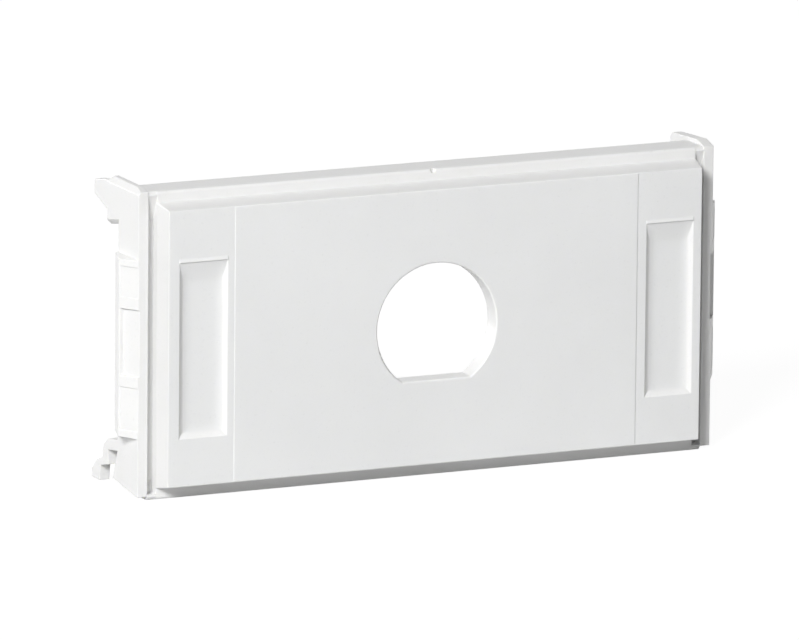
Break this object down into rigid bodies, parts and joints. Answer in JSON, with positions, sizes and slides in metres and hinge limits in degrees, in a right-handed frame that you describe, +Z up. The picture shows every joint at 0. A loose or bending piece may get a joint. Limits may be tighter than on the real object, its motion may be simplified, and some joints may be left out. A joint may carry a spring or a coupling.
{
  "type": "connector insert plate",
  "caption": "White moulded snap-in insert plate with a D-shaped connector hole, bevelled label recesses, thin end walls with snap bumps, and hooks behind one end.",
  "frame": {"origin": "centre of the D-hole's round, on the front face's centre field", "axes": "+X to the right seen from the front, +Y from the front face backwards, +Z up"},
  "size_m": [0.0478, 0.01, 0.0231],
  "materials": {
    "white_plastic": "satin"
  },
  "bodies": {
    "root": {"insert_plate": "white_plastic"}
  },
  "joints": []
}
